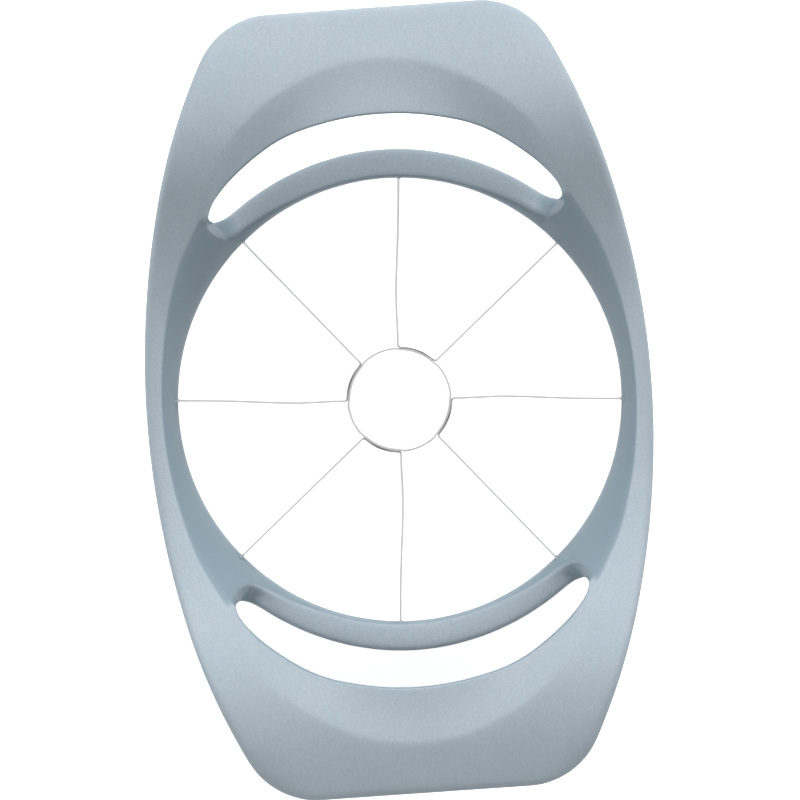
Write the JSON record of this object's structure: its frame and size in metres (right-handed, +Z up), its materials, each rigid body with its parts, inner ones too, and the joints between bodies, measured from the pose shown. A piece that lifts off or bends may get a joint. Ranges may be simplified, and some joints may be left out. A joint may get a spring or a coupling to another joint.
{
  "type": "apple slicer",
  "caption": "Hand-pressed apple slicer: a one-piece plastic ring frame with two raised handles round a spoked set of steel blades and a core ring.",
  "frame": {"origin": "centre of the ring, on the plane that its foot stands on", "axes": "+Z up out of the bowl, +Y along the two handles, +X across"},
  "size_m": [0.1124, 0.1726, 0.0395],
  "materials": {
    "frame_plastic": "light blue-grey matte moulding with a fine spark-eroded grain",
    "blade_steel": "cold-rolled stainless strip, ground along the cutting edge"
  },
  "bodies": {
    "root": {"frame": "frame_plastic", "core_ring": "blade_steel", "blade_strip_a": "blade_steel", "blade_strip_b": "blade_steel", "blade_strip_c": "blade_steel", "blade_strip_d": "blade_steel"}
  },
  "joints": []
}
